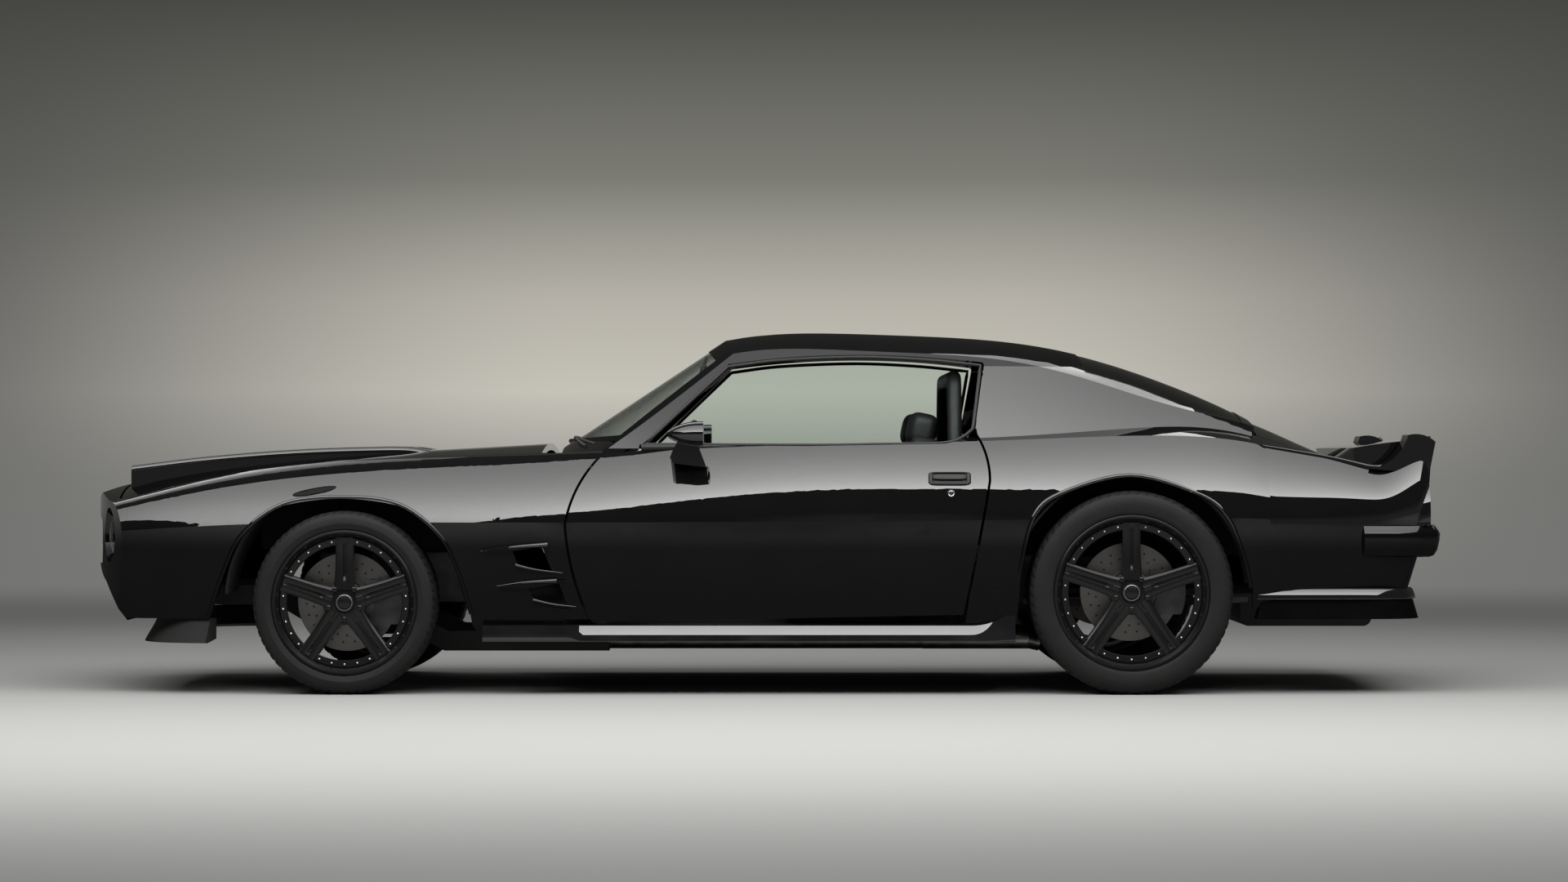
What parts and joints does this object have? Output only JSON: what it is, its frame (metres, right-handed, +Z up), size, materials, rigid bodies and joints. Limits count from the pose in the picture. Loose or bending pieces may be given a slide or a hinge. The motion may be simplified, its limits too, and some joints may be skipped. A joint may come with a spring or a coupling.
{
  "type": "muscle car",
  "caption": "Low black two-door fastback muscle car with twin hood scoops, split grille, spoked wheels, opening doors, hood and trunk lid, and steered front wheels.",
  "frame": {"origin": "on the ground under the middle of the car's length and width", "axes": "+X rearward along the car, +Y to the car's right, +Z up"},
  "size_m": [4.8598, 2.0448, 1.2806],
  "materials": {
    "paint": "gloss",
    "glass": "gloss",
    "lamp_glass": "gloss",
    "tail_lens": "gloss",
    "trim": "satin",
    "grille": "satin",
    "tyre": "matte",
    "rim": "gloss",
    "disc": "brushed",
    "chassis": "satin",
    "cast": "satin",
    "exhaust": "brushed",
    "seat": "satin",
    "dash": "satin"
  },
  "bodies": {
    "root": {"floor_pan": "chassis", "wheel_liners": "trim", "fender_left": "paint", "fender_right": "paint", "nose_fascia": "paint", "grilles": "grille", "headlamps": "lamp_glass", "chin_spoiler": "trim", "cowl_panel": "paint", "roof": "paint", "windscreen": "glass", "rear_screen": "glass", "quarter_left": "paint", "quarter_right": "paint", "rear_deck": "paint", "tail_panel": "paint", "tail_lamps": "tail_lens", "rear_bumper": "paint", "rear_apron": "paint", "side_skirts": "paint", "dashboard": "dash", "front_seats": "seat", "rear_seat": "seat", "roll_hoop": "trim", "engine": "cast", "subframe": "chassis", "rear_axle": "cast", "exhaust": "exhaust", "fuel_tank": "chassis"},
    "door_left": {"door_left": "paint", "door_glass_left": "glass", "mirror_left": "paint"},
    "door_right": {"door_right": "paint", "door_glass_right": "glass", "mirror_right": "paint"},
    "hood": {"hood": "paint"},
    "trunk_lid": {"trunk_lid": "paint"},
    "steering_wheel": {"steering_wheel": "seat"},
    "knuckle_left": {"knuckle_left": "cast"},
    "knuckle_right": {"knuckle_right": "cast"},
    "wheel_fl": {"tyre_fl": "tyre", "rim_fl": "rim", "disc_fl": "disc"},
    "wheel_fr": {"tyre_fr": "tyre", "rim_fr": "rim", "disc_fr": "disc"},
    "wheel_rl": {"tyre_rl": "tyre", "rim_rl": "rim", "disc_rl": "disc"},
    "wheel_rr": {"tyre_rr": "tyre", "rim_rr": "rim", "disc_rr": "disc"}
  },
  "joints": [
    {"name": "door_left_hinge", "type": "hinge", "parent": "root", "child": "door_left", "pos_m": [-0.6, -0.893, 0.555], "axis": [0, 0, -1], "range_deg": [0, 65]},
    {"name": "door_right_hinge", "type": "hinge", "parent": "root", "child": "door_right", "pos_m": [-0.6, 0.893, 0.555], "axis": [0, 0, 1], "range_deg": [0, 65]},
    {"name": "hood_hinge", "type": "hinge", "parent": "root", "child": "hood", "pos_m": [-0.815, 0, 0.823], "axis": [0, 1, 0], "range_deg": [0, 50]},
    {"name": "lid_hinge", "type": "hinge", "parent": "root", "child": "trunk_lid", "pos_m": [1.764, 0, 0.938], "axis": [0, -1, 0], "range_deg": [0, 60]},
    {"name": "steer_left", "type": "hinge", "parent": "root", "child": "knuckle_left", "pos_m": [-1.467, -0.7, 0.32], "axis": [0, 0, 1], "range_deg": [-32, 32]},
    {"name": "steer_right", "type": "hinge", "parent": "root", "child": "knuckle_right", "pos_m": [-1.467, 0.7, 0.32], "axis": [0, 0, 1], "range_deg": [-32, 32]},
    {"name": "steering_wheel_turn", "type": "hinge", "parent": "root", "child": "steering_wheel", "pos_m": [-0.19, -0.365, 0.778], "axis": [0.9272, 0, 0.3746], "range_deg": [-450, 450]},
    {"name": "spin_fl", "type": "hinge", "parent": "knuckle_left", "child": "wheel_fl", "pos_m": [-1.467, -0.79, 0.32], "axis": [0, 1, 0], "continuous": true},
    {"name": "spin_fr", "type": "hinge", "parent": "knuckle_right", "child": "wheel_fr", "pos_m": [-1.467, 0.79, 0.32], "axis": [0, 1, 0], "continuous": true},
    {"name": "spin_rl", "type": "hinge", "parent": "root", "child": "wheel_rl", "pos_m": [1.276, -0.775, 0.355], "axis": [0, 1, 0], "continuous": true},
    {"name": "spin_rr", "type": "hinge", "parent": "root", "child": "wheel_rr", "pos_m": [1.276, 0.775, 0.355], "axis": [0, 1, 0], "continuous": true}
  ],
  "couplings": [
    {"joint": "steer_right", "follows": "steer_left", "ratio": 1},
    {"joint": "steering_wheel_turn", "follows": "steer_left", "ratio": 14}
  ]
}
